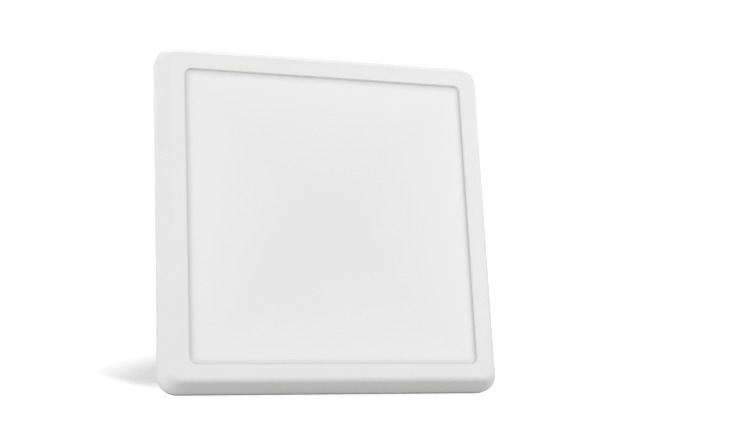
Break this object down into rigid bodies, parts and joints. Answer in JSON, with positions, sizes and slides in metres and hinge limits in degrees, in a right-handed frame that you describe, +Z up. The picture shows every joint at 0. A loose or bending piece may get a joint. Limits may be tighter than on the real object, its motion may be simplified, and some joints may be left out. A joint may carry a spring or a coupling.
{
  "type": "square led panel light with spring-clip bracket",
  "caption": "Square LED panel light: white framed diffuser, deep rear shell, latched steel bracket with sliding spring clips and a tether.",
  "frame": {"origin": "centre of the bracket's cable hole, on the plane where the bracket lies against the ceiling or wall", "axes": "+Y points into the ceiling or wall, +Z up the wall, +X to the right of a person who faces the light"},
  "size_m": [0.3, 0.0336, 0.3],
  "materials": {
    "white_moulding": "fine satin texture",
    "latch_white": "satin",
    "opal_sheet": "matt opal",
    "clear_acrylic": "clear, with a faint dot pattern",
    "reflector_film": "matt",
    "sheet_aluminium": "rolled",
    "strip_board": "white solder mask",
    "led_phosphor": "yellow phosphor in white cups",
    "screw_steel": "zinc, a little green",
    "board_green": "solder mask",
    "coil_tape": "tape over a dark core",
    "capacitor_sleeve": "sleeved",
    "choke_copper": "lacquered wire over a ferrite ring",
    "terminal_plastic": "semi-gloss",
    "terminal_brass": "plated",
    "mains_insulation": "brown and blue sleeves",
    "led_insulation": "red sleeves",
    "serial_paper": "bare label",
    "rating_paper": "bare label",
    "rail_steel": "dull zinc with bright edges",
    "slider_steel": "dull zinc",
    "pin_steel": "bright",
    "spring_wire": "drawn",
    "clear_silicone": "translucent",
    "rope_wire": "stranded",
    "lug_copper": "dull"
  },
  "bodies": {
    "bracket": {"upper_rail": "rail_steel", "lower_rail": "rail_steel", "centre_plate": "rail_steel", "tether_rivet": "screw_steel", "bracket_lug": "lug_copper"},
    "lamp": {"front_frame": "white_moulding", "diffuser": "opal_sheet", "light_guide_plate": "clear_acrylic", "reflector_sheet": "reflector_film", "heat_spreader": "sheet_aluminium", "led_strip_left": "strip_board", "led_strip_right": "strip_board", "led_chips": "led_phosphor", "rear_shell": "white_moulding", "shell_screws": "screw_steel", "driver_board": "board_green", "board_screws": "screw_steel", "transformer": "coil_tape", "filter_capacitors": "capacitor_sleeve", "choke": "choke_copper", "terminal_block": "terminal_plastic", "terminal_screws": "terminal_brass", "mains_leads": "mains_insulation", "led_leads": "led_insulation", "terminal_cover": "white_moulding", "cover_screws": "screw_steel", "serial_label": "serial_paper", "rating_label": "rating_paper", "tether_rope": "rope_wire", "lamp_lug": "lug_copper", "tether_screw": "screw_steel"},
    "latch_upper_left": {"latch_upper_left": "latch_white"},
    "clip_upper_left": {"slider_upper_left": "slider_steel", "pin_upper_left": "pin_steel", "spring_upper_left": "spring_wire"},
    "bail_upper_left": {"bail_upper_left": "spring_wire", "tip_upper_left": "clear_silicone"},
    "latch_upper_right": {"latch_upper_right": "latch_white"},
    "clip_upper_right": {"slider_upper_right": "slider_steel", "pin_upper_right": "pin_steel", "spring_upper_right": "spring_wire"},
    "bail_upper_right": {"bail_upper_right": "spring_wire", "tip_upper_right": "clear_silicone"},
    "latch_lower_left": {"latch_lower_left": "latch_white"},
    "clip_lower_left": {"slider_lower_left": "slider_steel", "pin_lower_left": "pin_steel", "spring_lower_left": "spring_wire"},
    "bail_lower_left": {"bail_lower_left": "spring_wire", "tip_lower_left": "clear_silicone"},
    "latch_lower_right": {"latch_lower_right": "latch_white"},
    "clip_lower_right": {"slider_lower_right": "slider_steel", "pin_lower_right": "pin_steel", "spring_lower_right": "spring_wire"},
    "bail_lower_right": {"bail_lower_right": "spring_wire", "tip_lower_right": "clear_silicone"}
  },
  "joints": [
    {"name": "lamp_release", "type": "slide", "parent": "bracket", "child": "lamp", "axis": [0, -1, 0], "range_m": [0, 0.04], "deforming": ["tether_rope"]},
    {"name": "latch_upper_left_slide", "type": "slide", "parent": "lamp", "child": "latch_upper_left", "axis": [0, 0, -1], "range_m": [0, 0.007]},
    {"name": "latch_upper_right_slide", "type": "slide", "parent": "lamp", "child": "latch_upper_right", "axis": [0, 0, -1], "range_m": [0, 0.007]},
    {"name": "latch_lower_left_slide", "type": "slide", "parent": "lamp", "child": "latch_lower_left", "axis": [0, 0, -1], "range_m": [0, 0.007]},
    {"name": "latch_lower_right_slide", "type": "slide", "parent": "lamp", "child": "latch_lower_right", "axis": [0, 0, -1], "range_m": [0, 0.007]},
    {"name": "clip_upper_left_slide", "type": "slide", "parent": "bracket", "child": "clip_upper_left", "axis": [-1, 0, 0], "range_m": [-0.03, 0.018]},
    {"name": "clip_upper_right_slide", "type": "slide", "parent": "bracket", "child": "clip_upper_right", "axis": [1, 0, 0], "range_m": [-0.03, 0.018]},
    {"name": "clip_lower_left_slide", "type": "slide", "parent": "bracket", "child": "clip_lower_left", "axis": [-1, 0, 0], "range_m": [-0.03, 0.018]},
    {"name": "clip_lower_right_slide", "type": "slide", "parent": "bracket", "child": "clip_lower_right", "axis": [1, 0, 0], "range_m": [-0.03, 0.018]},
    {"name": "bail_upper_left_swing", "type": "hinge", "parent": "clip_upper_left", "child": "bail_upper_left", "pos_m": [-0.0926, 0.0046, 0.048], "axis": [0, 0, -1], "range_deg": [0, 120], "stiffness_Nm_per_rad": 0.02, "springref_deg": -34.38},
    {"name": "bail_upper_right_swing", "type": "hinge", "parent": "clip_upper_right", "child": "bail_upper_right", "pos_m": [0.0926, 0.0046, 0.048], "axis": [0, 0, 1], "range_deg": [0, 120], "stiffness_Nm_per_rad": 0.02, "springref_deg": -34.38},
    {"name": "bail_lower_left_swing", "type": "hinge", "parent": "clip_lower_left", "child": "bail_lower_left", "pos_m": [-0.0926, 0.0046, -0.048], "axis": [0, 0, -1], "range_deg": [0, 120], "stiffness_Nm_per_rad": 0.02, "springref_deg": -34.38},
    {"name": "bail_lower_right_swing", "type": "hinge", "parent": "clip_lower_right", "child": "bail_lower_right", "pos_m": [0.0926, 0.0046, -0.048], "axis": [0, 0, 1], "range_deg": [0, 120], "stiffness_Nm_per_rad": 0.02, "springref_deg": -34.38}
  ]
}
